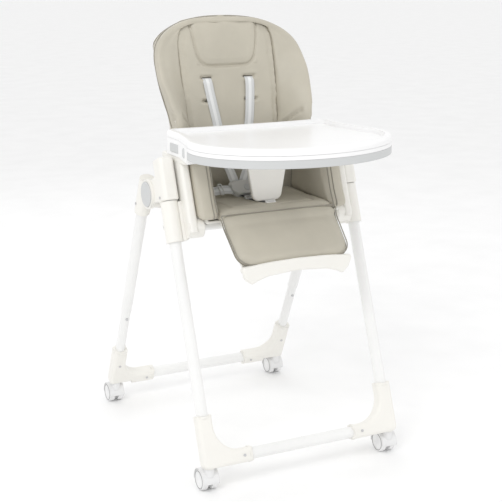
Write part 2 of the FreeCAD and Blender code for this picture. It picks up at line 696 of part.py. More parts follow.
def harness():
    """Lap straps, crotch strap, and a leaning buckle with its release button."""
    bands = [
        box(f"waist_strap_{hand}", across(hand, low, high), ("-12", "13"), ("-1.5", "1.5"), HARNESS)
        for hand, low, high in (("l", "4", "140"), ("r", "58", "140"))
    ]
    node("waist_straps", fuse("waist_straps", *bands))
    low_band = ("cushion_top + 0.5", "cushion_top + 3")
    node("crotch_strap", box("crotch_strap", ("-28", "-4"), ("-98", "-28"), low_band))
    shape = [
        ("-56", "-8", "8"),
        ("-42", "-20", "8"),
        ("-12", "-20", "8"),
        ("2", "-8", "8"),
        ("2", "12", "8"),
        ("-8", "20", "8"),
        ("-46", "20", "8"),
        ("-56", "12", "8"),
    ]
    buckle = prism("buckle_case", "xy", shape, "-buckle_half", "buckle_half", HARNESS)
    soften(buckle, "xy", "3", "buckle_half")
    well = rod_z("buckle_well", "9.4", "-15", "-3", ("1.5", "buckle_half + 2"), HARNESS)
    slots = box("buckle_slots", ("-60", "6"), ("-13.5", "14.5"), ("-2.5", "2.5"), HARNESS)
    node("harness_buckle", cut("harness_buckle", buckle, well, slots))
    button_z = ("buckle_half - 2.5", "buckle_half + 1")
    node("buckle_button", rod_z("buckle_button", "9", "-15", "-3", button_z, HARNESS))


# -------------------------------------------------------------------- backrest


BACK_OUTLINE = [
    # half width, height up the back, and a radius where the corner is rounded
    ("139", "14", "6"),
    ("134", "150", "8"),
    ("183", "172", "20"),
    ("204", "300", "90"),
    ("192", "398", "90"),
    ("112", "back_height - 12", "90"),
    ("45", "back_height"),
]


def back_shape(inset):
    """The backrest's outline, drawn inwards by an inset."""
    half = []
    for index, (x, z, *radius) in enumerate(BACK_OUTLINE):
        lift = f"{z} + {inset}" if index == 0 else f"{z} - {inset}" if index > 4 else z
        half.append((f"{x} - {inset}", lift, *radius))
    return half + [(f"-({x})", *rest) for x, *rest in reversed(half)]


def wing_sides(name, inset):
    """What lies outside the wings' flared outer faces, which come in towards the rear."""
    pieces = []
    for hand in "lr":
        shape = [
            (f"54.6 - {inset}", "60"),
            (f"202.3 - {inset}", "-150"),
            ("280", "-150"),
            ("280", "60"),
        ]
        pieces.append(prism(f"{name}_{hand}", "xy", mirrored(shape, hand), "wing_start", "520", WING))
    return pieces


def backrest_shell():
    """A tub: a 12 mm back with flared side wings that reach forward most just above the seat."""
    outer = cut(
        "back_outer_flared",
        prism("back_outer", "xz", back_shape("0"), "-135", "back_shell", BACK),
        *wing_sides("outer_side", "0"),
    )
    inner = cut(
        "back_inner_flared",
        prism("back_inner", "xz", back_shape("shell_wall"), "-136", "0", BACK),
        *wing_sides("inner_side", "shell_wall * 1.25"),
    )
    tub = cut("back_tub", outer, inner)
    profile = [
        ("back_shell + 1", "0"),
        ("back_shell + 1", "back_height + 5"),
        ("-16", "back_height + 5"),
        ("-58", "342"),
        ("-112", "196", "30"),
        ("-104", "166", "16"),
        ("-2", "160", "10"),
        ("-2", "0"),
    ]
    wings = prism("back_profile", "yz", profile, "-210", "210", BACK)
    shaped = common("back_shaped", tub, wings)
    housing_y = ("back_shell - 1", "back_shell + 20")
    housing = box("handle_housing", ("-62", "62"), housing_y, ("356", "420"), BACK)
    eyes = [back_rod(f"back_eye_{hand}", "7.4", hand, "119", "140.4") for hand in "lr"]
    arms = [
        box(f"back_arm_{hand}", across(hand, "119", "139"), ("0", "back_shell"), ("4", "18"), BACK)
        for hand in "lr"
    ]
    solid = fuse("back_solid", shaped, housing, *eyes, *arms)
    well_y = ("back_shell + 4", "back_shell + 22")
    tools = [box("handle_well", ("-42.5", "42.5"), well_y, ("363", "402"), BACK)]
    slot_y = ("-1", "back_shell + 1")
    for hand in "lr":
        tools.append(back_rod(f"eye_bore_{hand}", "back_pin_radius + pin_gap", hand, "117", "142"))
        for level in ("244", "302"):
            slot_z = (f"{level} - 5", f"{level} + 5")
            tools.append(box(f"strap_slot_{level}_{hand}", across(hand, "46", "78"), slot_y, slot_z, BACK))
    return cut("backrest_shell", solid, *tools)


def backrest():
    node("backrest_shell", backrest_shell())
    shape = [
        ("119", "20.5", "12"),
        ("119", "160"),
        ("132", "230"),
        ("132", "380", "60"),
        ("96", "back_height - 20", "50"),
        ("-96", "back_height - 20", "50"),
        ("-132", "380", "60"),
        ("-132", "230"),
        ("-119", "160"),
        ("-119", "20.5", "12"),
    ]
    pad = prism("back_cushion", "xz", shape, "back_pad_front", "-0.4", BACK)
    node("back_cushion", soften(pad, "xz", "6", "back_pad_front"))
    band_y = ("back_pad_front - 4", "back_pad_front - 1")
    bands = []
    for hand in "lr":
        band_x = across(hand, "strap_inner_x", "strap_inner_x + strap_width")
        bands.append(box(f"shoulder_strap_{hand}", band_x, band_y, ("95", "302"), BACK))
    node("shoulder_straps", fuse("shoulder_straps", *bands))
    grip_y = ("back_shell + 4.4", "back_shell + 26")
    grip = box("recline_grip", ("-42", "42"), grip_y, ("363.4", "385"), BACK)
    handle = doc.addObject("Part::Fillet", "recline_handle")
    handle.Base = grip
    handle.Edges = [(edge, 3.0, 3.0) for edge in (1, 3, 5, 7)]
    node("recline_handle", handle)


# -------------------------------------------------------------------- leg rest


def leg_rest():
    top = "-8"
    bottom = "-calf_length"
    shape = [
        ("-148", top, "8"),
        ("148", top, "8"),
        ("144", bottom, "34"),
        ("-144", bottom, "34"),
    ]
    pad = prism("calf_cushion", "xz", shape, "-15", "5", CALF)
    node("calf_cushion", soften(pad, "xz", "5", "-15", "5"))
    plate_shape = [
        ("-136", "-11", "6"),
        ("136", "-11", "6"),
        ("132", "-calf_length - 13", "6"),
        ("-132", "-calf_length - 13", "6"),
    ]
    plate = prism("calf_plate", "xz", plate_shape, "5.5", "12", CALF)
    ears = []
    bores = []
    for hand in "lr":
        ears.append(calf_rod(f"calf_eye_{hand}", "6.5", hand, "109", "124"))
        ears.append(box(f"calf_arm_{hand}", across(hand, "109", "124"), ("0", "11"), ("-16", "0"), CALF))
        bores.append(calf_rod(f"calf_eye_bore_{hand}", "calf_pin_radius + pin_gap", hand, "108", "125"))
    solid = fuse("calf_solid", plate, *ears)
    pad_room = box("calf_pad_room", ("-160", "160"), ("-16", "5.3"), ("-40", "-7.6"), CALF)
    node("calf_panel", cut("calf_panel", solid, pad_room, *bores))
    bow = [
        ("-146", "517", "6"),
        ("-70", "524"),
        ("0", "526"),
        ("70", "524"),
        ("146", "517", "6"),
        ("136", "489", "12"),
        ("120", "474", "7"),
        ("104", "482", "14"),
        ("78", "490", "60"),
        ("0", "496", "200"),
        ("-78", "490", "60"),
        ("-104", "482", "14"),
        ("-120", "474", "7"),
        ("-136", "489", "12"),
    ]
    bar = prism("foot_bar", "xz", bow, "foot_front", "foot_rear")
    soften(bar, "xz", "5", "foot_front", "foot_rear")
    over_pad = box("foot_pad_room", ("-160", "160"), ("-60", "5.4"), ("-calf_length - 0.4", "0"), CALF)
    plate_z = ("-calf_length - 13.2", "0")
    over_plate = box("foot_plate_room", ("-160", "160"), ("5.3", "60"), plate_z, CALF)
    node("footrest", cut("footrest", bar, over_pad, over_plate))


# ------------------------------------------------------------------------ tray


def tray_block(name, inset, low, high):
    """The D-shaped tray between two levels: an elliptical front and a waist that fits between the legs."""
    inset = f"({inset})"
    oval = doc.addObject("Part::Ellipse", name + "_oval")
    bind(
        oval,
        MajorRadius=f"tray_half - {inset}",
        MinorRadius=f"tray_wide_y - tray_front - {inset}",
    )
    oval.setExpression("Placement.Base.y", linked("tray_wide_y"))
    oval.setExpression("Placement.Base.z", linked(low))
    front = doc.addObject("Part::Extrusion", name + "_front")
    front.Base = oval
    front.Dir = FreeCAD.Vector(0, 0, 1)
    front.Solid = True
    bind(front, LengthFwd=f"({high}) - ({low})")
    waist = f"tray_waist - {inset}"
    half = f"tray_half - {inset}"
    corners = [
        (half, "tray_wide_y"),
        (waist, "tray_waist_y", "60"),
        (waist, f"tray_rear - {inset}", f"30 - {inset}"),
        ("110", f"tray_rear - 9 - {inset}"),
        ("-110", f"tray_rear - 9 - {inset}"),
        (f"-({waist})", f"tray_rear - {inset}", f"30 - {inset}"),
        (f"-({waist})", "tray_waist_y", "60"),
        (f"-({half})", "tray_wide_y"),
    ]
    rear = prism(name + "_rear", "xy", corners, low, high)
    return fuse(name, front, rear)


def tray_cheek(hand):
    """Solid side arm of the tray, which rests on the carriage's rail and holds two buttons."""
    name = f"tray_cheek_{hand}"
    full = tray_block(name + "_full", "0", "tray_cheek_low", "tray_split")
    cheek_y = ("-165", "tray_rear + 1")
    side = box(name + "_side", across(hand, "197", "260"), cheek_y, ("tray_cheek_low", "tray_split"))
    return common(name, full, side)


def button_outline(y, z, wide, tall, radius, spare):
    """A rounded rectangle seen from the side."""
    low_y, high_y = f"{y} - {wide} / 2 - {spare}", f"{y} + {wide} / 2 + {spare}"
    low_z, high_z = f"{z} - {tall} / 2 - {spare}", f"{z} + {tall} / 2 + {spare}"
    return [
        (low_y, low_z, radius),
        (high_y, low_z, radius),
        (high_y, high_z, radius),
        (low_y, high_z, radius),
    ]


TRAY_BUTTONS = {
    # name: centre y, centre z, width, height, corner radius, well floor x, inner x, outer x
    "tray_lock_button": ("-41", "768", "48", "20", "3", "209", "214", "222.7"),
    "tray_release_button": ("-127", "769.5", "16", "23", "7.5", "221", "226.2", "234.8"),
}


def tray():
    plate = tray_block("tray_plate", "0", "tray_low", "tray_split")
    cheeks = [tray_cheek(hand) for hand in "lr"]
    solid = fuse("tray_solid", plate, *cheeks)
    hollow_block = tray_block("tray_hollow", "rim_depth + 4", "tray_low - 1", "tray_split - 4")
    keep = [
        box(f"tray_keep_{hand}", across(hand, "197", "260"), ("-165", "40"), ("700", "800"))
        for hand in "lr"
    ]
    hollow = cut("tray_room", hollow_block, *keep)
    zone_z = ("tray_low - 1", "rim_top + 0.3")
    band_zone = box("band_zone", ("-260", "260"), ("tray_front - 5", "-171.7"), zone_z)
    band_core = tray_block("band_core", "rim_depth + 0.1", "tray_low - 2", "rim_top + 2")
    band_room = cut("band_room", band_zone, band_core)
    wells = []
    for name, (y, z, wide, tall, radius, floor, low, high) in TRAY_BUTTONS.items():
        for hand in "lr":
            inner, outer = across(hand, floor, "245")
            well_shape = button_outline(y, z, wide, tall, radius, "glide_gap")
            wells.append(prism(f"{name}_well_{hand}", "yz", well_shape, inner, outer))
            inner, outer = across(hand, low, high)
            face = button_outline(y, z, wide, tall, radius, "0")
            button = prism(f"{name}_{hand}", "yz", face, inner, outer)
            node(f"{name}_{hand}", soften(button, "yz", "1", outer if hand == "l" else inner))
    node("tray_base", cut("tray_base", solid, hollow, band_room, *wells))
    band_full = tray_block("band_full", "0", "tray_low", "rim_top")
    band_inner = tray_block("band_inner", "rim_depth", "tray_low - 1", "rim_top + 1")
    band = cut("band", band_full, band_inner)
    front_z = ("tray_low - 1", "rim_top + 1")
    band_front = box("band_front", ("-260", "260"), ("tray_front - 5", "-172"), front_z)
    node("tray_rim", common("tray_rim", band, band_front))
    post_shape = [
        ("-58", "tray_split - 4.5", "2"),
        ("-56", "740", "60"),
        ("-37", "631", "18"),
        ("37", "631", "18"),
        ("56", "740", "60"),
        ("58", "tray_split - 4.5", "2"),
    ]
    post = prism("crotch_post", "xz", post_shape, "-90", "-77")
    node("crotch_post", soften(post, "xz", "4", "-90", "-77"))
    top = tray_block("tray_top_block", "0", "tray_top_low", "tray_high")
    doc.recompute()
    rounded = doc.addObject("Part::Fillet", "tray_top_rounded")
    rounded.Base = top
    upper = number("tray_high")
    rounded.Edges = [
        (index, 8.0, 8.0)
        for index, edge in enumerate(top.Shape.Edges, start=1)
        if all(abs(vertex.Z - upper) < 1e-4 for vertex in edge.Vertexes)
    ]
    dish = tray_block("tray_dish", "16", "tray_top_low + 4.5", "tray_high + 1")
    node("tray_top", cut("tray_top", rounded, dish))


# --------------------------------------------------------------------- castors


def castor(place_name, x, swivel_y):
    """Hood with its stem, and a pair of wheels on one axle that trails behind the stem."""
    hood_name = f"castor_hood_{place_name}"
    axle_y = f"{swivel_y} + castor_trail"
    width = (f"{x} - wheel_outer_x - 0.5", f"{x} + wheel_outer_x + 0.5")
    cover = rod_x(hood_name + "_cover", "hood_radius", width, axle_y, "wheel_radius")
    around = ((f"{x} - 30", f"{x} + 30"), (f"{axle_y} - 40", f"{axle_y} + 40"))
    above = box(hood_name + "_above", *around, ("wheel_radius - 5", "wheel_radius + 40"))
    shade = common(hood_name + "_shade", cover, above)
    neck = rod_z(hood_name + "_neck", "12", x, swivel_y, ("wheel_radius + 12", "neck_top"))
    stem = rod_z(hood_name + "_stem", "stem_radius", x, swivel_y, ("wheel_radius + 12", "neck_top + 29"))
    solid = fuse(hood_name + "_solid", shade, neck, stem)
    rooms = [
        rod_x(f"{hood_name}_room_{side}", "wheel_radius + 0.8", reach, axle_y, "wheel_radius")
        for side, reach in (
            ("near", (f"{x} - wheel_outer_x - 2", f"{x} - wheel_inner_x + 0.4")),
            ("far", (f"{x} + wheel_inner_x - 0.4", f"{x} + wheel_outer_x + 2")),
        )
    ]
    web = (f"{x} - 9", f"{x} + 9")
    bore = rod_x(hood_name + "_bore", "axle_radius + pin_gap", web, axle_y, "wheel_radius")
    node(hood_name, cut(hood_name, solid, bore, *rooms))
    wheel_name = f"castor_wheels_{place_name}"
    tyres = []
    for side, reach in (
        ("near", (f"{x} - wheel_outer_x", f"{x} - wheel_inner_x")),
        ("far", (f"{x} + wheel_inner_x", f"{x} + wheel_outer_x")),
    ):
        tyre = rod_x(f"{wheel_name}_{side}", "wheel_radius", reach, axle_y, "wheel_radius")
        tyres.append(rounded_rims(f"{wheel_name}_{side}_rounded", tyre, 3, reach))
    axle_x = (f"{x} - wheel_outer_x + 1", f"{x} + wheel_outer_x - 1")
    axle = rod_x(wheel_name + "_axle", "axle_radius", axle_x, axle_y, "wheel_radius")
    node(wheel_name, fuse(wheel_name, axle, *tyres))


def castors():
    front_y = world_yz(FRONT, "0", "-front_bar_drop")[0]
    rear_y = world_yz(REAR, "0", "-rear_bar_drop")[0]
    for hand in "lr":
        castor(f"front_{hand}", side_x(hand, "front_leg_x"), front_y)
        castor(f"rear_{hand}", side_x(hand, "rear_leg_x"), rear_y)


front_frame()
rear_frame()
fold_buttons()
seat_unit()
harness()
backrest()
leg_rest()
tray()
castors()
doc.recompute()

for item in doc.Objects:
    if {"Invalid", "Error"} & set(item.State):
        raise ValueError(f"{item.Name}: {item.State}")
for name, item in NODES.items():
    shape = item.Shape
    if shape.isNull() or not shape.isValid() or shape.Volume <= 0:
        raise ValueError(f"{name} isn't a valid solid")
for name, item in NODES.items():
    item.Shape.exportStep(f"parts/{name}.step")

whole = FreeCAD.BoundBox()
for item in NODES.values():
    whole.add(item.Shape.BoundBox)
print(len(NODES), "nodes,", whole)
for name, item in NODES.items():
    print(f"{name:26s} solids {len(item.Shape.Solids)} volume {item.Shape.Volume / 1000:9.2f} cm3")
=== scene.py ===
import json
import math

import bmesh
import bpy
import numpy as np
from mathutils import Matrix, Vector
from mathutils.bvhtree import BVHTree


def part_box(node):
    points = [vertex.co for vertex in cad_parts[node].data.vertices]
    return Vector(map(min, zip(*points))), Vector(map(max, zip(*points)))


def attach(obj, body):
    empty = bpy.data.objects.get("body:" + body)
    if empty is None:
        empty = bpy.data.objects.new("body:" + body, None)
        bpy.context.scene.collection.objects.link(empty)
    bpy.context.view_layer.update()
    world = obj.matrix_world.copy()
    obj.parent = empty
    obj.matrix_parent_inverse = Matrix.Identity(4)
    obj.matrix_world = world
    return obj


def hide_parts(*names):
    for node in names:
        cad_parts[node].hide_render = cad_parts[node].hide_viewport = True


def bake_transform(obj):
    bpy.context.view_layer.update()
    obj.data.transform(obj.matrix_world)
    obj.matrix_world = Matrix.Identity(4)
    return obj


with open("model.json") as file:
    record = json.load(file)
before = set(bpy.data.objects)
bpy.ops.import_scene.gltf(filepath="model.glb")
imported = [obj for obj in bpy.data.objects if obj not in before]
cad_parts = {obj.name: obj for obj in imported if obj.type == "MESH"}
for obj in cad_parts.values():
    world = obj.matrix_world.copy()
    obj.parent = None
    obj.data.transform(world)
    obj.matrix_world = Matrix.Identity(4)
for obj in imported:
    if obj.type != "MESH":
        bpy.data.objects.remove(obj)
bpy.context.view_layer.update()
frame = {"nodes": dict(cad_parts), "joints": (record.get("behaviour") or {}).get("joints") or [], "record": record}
NODES = frame["nodes"]
JOINTS = {joint["name"]: joint for joint in frame["joints"]}
MM = 0.001
scene = bpy.context.scene


# ------------------------------------------------------------------ materials


class Shader:
    """A node material with a Principled shader, built up a texture at a time."""

    def __init__(self, name, color, roughness, **sockets):
        self.material = bpy.data.materials.new(name)
        self.material.use_nodes = True
        self.tree = self.material.node_tree
        self.main = self.tree.nodes["Principled BSDF"]
        self.color = tuple(color) + (1.0,)
        self.main.inputs["Base Color"].default_value = self.color
        self.main.inputs["Roughness"].default_value = roughness
        for socket, value in sockets.items():
            self.main.inputs[socket.replace("_", " ")].default_value = value
        self.coordinates = self.add("ShaderNodeTexCoord").outputs["Object"]
        self.normal = None

    def add(self, kind, **values):
        node = self.tree.nodes.new(kind)
        for name, value in values.items():
            if name in node.inputs:
                node.inputs[name].default_value = value
            else:
                setattr(node, name, value)
        return node

    def link(self, out, into):
        self.tree.links.new(out, into)

    def noise(self, scale, detail):
        node = self.add("ShaderNodeTexNoise", Scale=scale, Detail=detail, Roughness=0.55)
        self.link(self.coordinates, node.inputs["Vector"])
        return node.outputs["Fac"]

    def cells(self, scale):
        node = self.add("ShaderNodeTexVoronoi", Scale=scale, feature="F1")
        self.link(self.coordinates, node.inputs["Vector"])
        return node.outputs["Distance"]

    def ramp(self, source, low, high, start=0.3, end=0.7):
        node = self.add("ShaderNodeValToRGB")
        node.color_ramp.elements[0].position = start
        node.color_ramp.elements[1].position = end
        node.color_ramp.elements[0].color = tuple(low) + (1.0,)
        node.color_ramp.elements[1].color = tuple(high) + (1.0,)
        self.link(source, node.inputs["Fac"])
        return node.outputs["Color"]

    def tint(self, source, low, high, start=0.3, end=0.7):
        """Colour between two shares of the base colour."""
        base = self.color[:3]
        shades = [tuple(min(1.0, c * share) for c in base) for share in (low, high)]
        self.link(self.ramp(source, *shades, start, end), self.main.inputs["Base Color"])

    def gloss(self, source, low, high):
        node = self.add("ShaderNodeMapRange")
        node.inputs["To Min"].default_value = low
        node.inputs["To Max"].default_value = high
        self.link(source, node.inputs["Value"])
        self.link(node.outputs["Result"], self.main.inputs["Roughness"])

    def soft_edges(self, radius):
        node = self.add("ShaderNodeBevel", Radius=radius)
        node.samples = 4
        self.normal = node.outputs["Normal"]
        self.link(self.normal, self.main.inputs["Normal"])

    def bump(self, source, distance, strength=0.5):
        node = self.add("ShaderNodeBump", Strength=strength, Distance=distance)
        self.link(source, node.inputs["Height"])
        if self.normal:
            self.link(self.normal, node.inputs["Normal"])
        self.normal = node.outputs["Normal"]
        self.link(self.normal, self.main.inputs["Normal"])


def leather(name, color):
    shader = Shader(name, color, 0.46, Coat_Weight=0.06, Coat_Roughness=0.4)
    shader.tint(shader.noise(9, 4), 0.93, 1.05)
    shader.gloss(shader.noise(60, 3), 0.38, 0.54)
    shader.bump(shader.noise(22, 3), 0.0012, 0.25)
    shader.bump(shader.cells(720), 0.00025, 0.5)
    return shader.material


def moulding(name, color, roughness, grain=900, edge=0.0014):
    shader = Shader(name, color, roughness)
    shader.soft_edges(edge)
    shader.tint(shader.noise(5, 2), 0.975, 1.01)
    shader.gloss(shader.noise(45, 4), roughness - 0.05, roughness + 0.08)
    shader.bump(shader.noise(grain, 2), 0.0001, 0.25)
    return shader.material


def paint(name, color):
    shader = Shader(name, color, 0.32, Coat_Weight=0.35, Coat_Roughness=0.18)
    shader.tint(shader.noise(7, 2), 0.97, 1.01)
    shader.gloss(shader.noise(30, 3), 0.27, 0.38)
    shader.bump(shader.noise(420, 2), 0.00012, 0.35)
    return shader.material


def steel(name, color):
    shader = Shader(name, color, 0.34, Metallic=1.0)
    shader.gloss(shader.noise(160, 3), 0.25, 0.45)
    shader.bump(shader.noise(700, 2), 0.00005, 0.3)
    return shader.material


def tread(name, color):
    shader = Shader(name, color, 0.55)
    shader.soft_edges(0.001)
    shader.tint(shader.noise(40, 4), 0.88, 1.05)
    shader.gloss(shader.noise(120, 3), 0.45, 0.65)
    shader.bump(shader.noise(500, 3), 0.0002, 0.4)
    return shader.material


def webbing(name, edge_color, middle_color):
    """Woven strap. U runs across the strap from 0 to 1 and V along it in metres."""
    shader = Shader(name, edge_color, 0.75, Sheen_Weight=0.25)
    uv = shader.add("ShaderNodeUVMap").outputs["UV"]
    split = shader.add("ShaderNodeSeparateXYZ")
    shader.link(uv, split.inputs[0])
    middle = shader.add("ShaderNodeMath", operation="SUBTRACT")
    middle.inputs[1].default_value = 0.5
    shader.link(split.outputs[0], middle.inputs[0])
    away = shader.add("ShaderNodeMath", operation="ABSOLUTE")
    shader.link(middle.outputs[0], away.inputs[0])
    stripe = shader.ramp(away.outputs[0], middle_color, edge_color, 0.13, 0.2)
    shader.link(stripe, shader.main.inputs["Base Color"])
    scaled = shader.add("ShaderNodeMapping")
    scaled.inputs["Scale"].default_value = (16, 420, 1)
    shader.link(uv, scaled.inputs["Vector"])
    weave = shader.add("ShaderNodeTexChecker", Scale=1.0)
    shader.link(scaled.outputs[0], weave.inputs["Vector"])
    shader.bump(weave.outputs["Fac"], 0.0003, 0.6)
    shader.gloss(weave.outputs["Fac"], 0.65, 0.85)
    return shader.material


TAUPE = (0.515, 0.482, 0.40)
LEATHER = leather("seat_leather", TAUPE)
PIPING = leather("seat_piping", (0.30, 0.28, 0.235))
PLASTIC = moulding("white_plastic", (0.86, 0.845, 0.80), 0.36)
GREY = moulding("grey_plastic", (0.60, 0.61, 0.61), 0.42)
TRAY = moulding("tray_plastic", (0.92, 0.92, 0.92), 0.3, grain=150, edge=0.0008)
TUBE = paint("white_tube", (0.86, 0.86, 0.85))
STEEL = steel("steel", (0.62, 0.62, 0.63))
WHEEL = tread("castor_wheel", (0.86, 0.86, 0.86))
RING = tread("castor_ring", (0.38, 0.38, 0.38))
HOOD = moulding("castor_plastic", (0.80, 0.80, 0.80), 0.3)
BUCKLE = moulding("buckle_plastic", (0.66, 0.66, 0.64), 0.4, edge=0.0008)
STRAP = webbing("strap_webbing", (0.66, 0.67, 0.67), (0.84, 0.85, 0.85))
DARK_STRAP = webbing("dark_webbing", (0.05, 0.05, 0.05), (0.07, 0.07, 0.07))
# Near-black material that paints the shade inside the harness slot openings.
SLOT_SHADE = moulding("slot_shade", (0.10, 0.09, 0.07), 0.6, edge=0.0005)
LABEL = leather("label", (0.85, 0.85, 0.84))

BY_SLOT = {
    "white_tube": TUBE,
    "white_plastic": PLASTIC,
    "tray_plastic": TRAY,
    "grey_plastic": GREY,
    "castor_plastic": HOOD,
    "castor_wheel": WHEEL,
    "seat_leather": LEATHER,
    "strap_webbing": STRAP,
    "buckle_plastic": BUCKLE,
    "steel": STEEL,
}
for part in frame["record"]["subparts"]:
    data = NODES[part["node"]].data
    data.materials.clear()
    data.materials.append(BY_SLOT[part["material_slot"]])
# In the photograph these two are whiter than their slots' materials.
NODES["tray_base"].data.materials[0] = TRAY
NODES["seat_cross_tube"].data.materials[0] = TUBE


# -------------------------------------------------------------- mesh building


def mesh_object(name, points, faces, material):
    mesh = bpy.data.meshes.new(name)
    mesh.from_pydata([tuple(p) for p in points], [], faces)
    mesh.validate()
    work = bmesh.new()
    work.from_mesh(mesh)
    bmesh.ops.recalc_face_normals(work, faces=work.faces)
    work.to_mesh(mesh)
    work.free()
    mesh.shade_smooth()
    mesh.materials.append(material)
    item = bpy.data.objects.new(name, mesh)
    scene.collection.objects.link(item)
    return item


def loft(name, rings, material, capped=True):
    """A skin over closed rings of points, each ring with as many points as the next."""
    count = len(rings[0])
    points = [p for ring in rings for p in ring]
    faces = []
    for i in range(len(rings) - 1):
        for j in range(count):
            k = (j + 1) % count
            faces.append((i * count + j, i * count + k, (i + 1) * count + k, (i + 1) * count + j))
    if capped:
        faces.append(tuple(range(count)))
        faces.append(tuple((len(rings) - 1) * count + j for j in range(count)))
    return mesh_object(name, points, faces, material)


def apply_modifiers(item):
    bpy.context.view_layer.update()
    graph = bpy.context.evaluated_depsgraph_get()
    mesh = bpy.data.meshes.new_from_object(item.evaluated_get(graph), depsgraph=graph)
    mesh.name = item.name
    item.modifiers.clear()
    item.data = mesh
    item.data.shade_smooth()
    return item


def subdivide(item):
    modifier = item.modifiers.new("subdivision", "SUBSURF")
    modifier.levels = modifier.render_levels = 1
    return apply_modifiers(item)


def remesh(item, voxel):
    modifier = item.modifiers.new("remesh", "REMESH")
    modifier.mode = "VOXEL"
    modifier.voxel_size = voxel
    return apply_modifiers(item)


def smooth(item, repeat):
    modifier = item.modifiers.new("smooth", "SMOOTH")
    modifier.iterations = repeat
    modifier.factor = 0.5
    return apply_modifiers(item)


def bevelled(item, width, segments):
    modifier = item.modifiers.new("bevel", "BEVEL")
    modifier.width = width
    modifier.segments = segments
    modifier.limit_method = "ANGLE"
    return apply_modifiers(item)


def coordinates(item):
    return np.array([v.co for v in item.data.vertices], float).reshape(-1, 3)


def set_coordinates(item, points):
    item.data.vertices.foreach_set("co", np.asarray(points, np.float32).ravel())
    item.data.update()


VOXEL = 5 * MM
SWELL_FRAMES = 20
PRESSURE = 4.0


def puff(item, cap, hold):
    """Swell a closed cover with a short cloth simulation. No point moves further than cap, and
    hold(start, move) says how much of each move is kept."""
    remesh(item, VOXEL)
    smooth(item, 4)
    start = coordinates(item)
    cloth = item.modifiers.new("cloth", "CLOTH")
    settings = cloth.settings
    settings.quality = 5
    settings.mass = 0.3
    settings.tension_stiffness = 20
    settings.compression_stiffness = 20
    settings.bending_stiffness = 1.5
    settings.use_pressure = True
    settings.uniform_pressure_force = PRESSURE
    settings.effector_weights.gravity = 0
    cloth.point_cache.frame_end = SWELL_FRAMES
    for step in range(1, SWELL_FRAMES + 1):
        scene.frame_set(step)
    graph = bpy.context.evaluated_depsgraph_get()
    swollen = item.evaluated_get(graph)
    found = np.array([v.co for v in swollen.data.vertices], float).reshape(-1, 3)
    item.modifiers.clear()
    scene.frame_set(1)
    move = found - start
    move -= move.mean(axis=0)
    length = np.linalg.norm(move, axis=1, keepdims=True)
    move *= np.minimum(1.0, cap / np.maximum(length, 1e-9))
    set_coordinates(item, start + hold(start, move))
    smooth(item, 2)
    return subdivide(item)


def mostly_along(direction, share=0.25, behind=1.0):
    """A hold that keeps the swelling along a direction, a share of it across, and a share of it backwards."""
    axis = np.array(direction)

    def hold(start, move):
        along = move @ axis
        across = move - along[:, None] * axis
        return across * share + (along * np.where(along > 0, 1.0, behind))[:, None] * axis

    return hold


def displaced(item, shift):
    """Move each point by shift(points), a function from an N by 3 array to another."""
    points = coordinates(item)
    set_coordinates(item, points + shift(points))
    return item


def copy_of(node_name, name, material):
    """A loose copy of a CAD node's mesh, to be reshaped."""
    mesh = NODES[node_name].data.copy()
    mesh.materials.clear()
    mesh.materials.append(material)
    item = bpy.data.objects.new(name, mesh)
    scene.collection.objects.link(item)
    return item


def through(points, steps=8):
    """A smooth line through points."""
    points = [Vector(p) for p in points]
    ends = [2 * points[0] - points[1]] + points + [2 * points[-1] - points[-2]]
    line = []
    for a, b, c, d in zip(ends, ends[1:], ends[2:], ends[3:]):
        for i in range(steps):
            t = i / steps
            line.append(0.5 * (2 * b + (c - a) * t + (2 * a - 5 * b + 4 * c - d) * t * t
                               + (3 * b - a - 3 * c + d) * t ** 3))
    return line + [points[-1]]


def tube(name, line, radius, material, sides=10, closed=False):
    """A round cord of cover piping along a line."""
    rings = []
    side = None
    count = len(line)
    for i, point in enumerate(line):
        after = line[(i + 1) % count] if closed else line[min(i + 1, count - 1)]
        before = line[i - 1] if closed else line[max(i - 1, 0)]
        ahead = (after - before).normalized()
        if side is None:
            side = ahead.orthogonal().normalized()
        side = (side - ahead * side.dot(ahead)).normalized()
        other = ahead.cross(side)
        rings.append([
            point + radius * (math.cos(a) * side + math.sin(a) * other)
            for a in (2 * math.pi * k / sides for k in range(sides))
        ])
    if closed:
        rings.append(rings[0])
    item = loft(name, rings, material, capped=not closed)
    if closed:
        work = bmesh.new()
        work.from_mesh(item.data)
        bmesh.ops.remove_doubles(work, verts=work.verts, dist=1e-6)
        work.to_mesh(item.data)
        work.free()
    return item


def band(name, line, across, width, thick, material):
    """A strap along a line, its width lying in the direction across, with UVs for its weave."""
    half = [(-0.5, 0.25), (-0.42, 0.5), (0.42, 0.5), (0.5, 0.25)]
    profile = half + [(-u, -v) for u, v in half]
    rings, travel = [], [0.0]
    for i, point in enumerate(line):
        ahead = (line[min(i + 1, len(line) - 1)] - line[max(i - 1, 0)]).normalized()
        wide = Vector(across)
        wide = (wide - ahead * wide.dot(ahead)).normalized()
        face = wide.cross(ahead).normalized()
        rings.append([point + wide * (u * width) + face * (v * thick) for u, v in profile])
        if i:
            travel.append(travel[-1] + (point - line[i - 1]).length)
    item = loft(name, rings, material)
    layer = item.data.uv_layers.new(name="strap")
    for loop in item.data.loops:
        ring, spot = divmod(loop.vertex_index, len(profile))
        layer.data[loop.index].uv = (profile[spot][0] + 0.5, travel[ring])
    return item


def rounded_plate(name, corners, thick, place, material, bevel, segments):
    """A plate with soft edges. Corners are (u, v) and place turns (u, v, depth) into a point."""
    count = len(corners)
    points = [place(u, v, d) for d in (-thick / 2, thick / 2) for u, v in corners]
    faces = [tuple(range(count)), tuple(range(count, 2 * count))]
    faces += [(i, (i + 1) % count, (i + 1) % count + count, i + count) for i in range(count)]
    return bevelled(mesh_object(name, points, faces, material), bevel, segments)


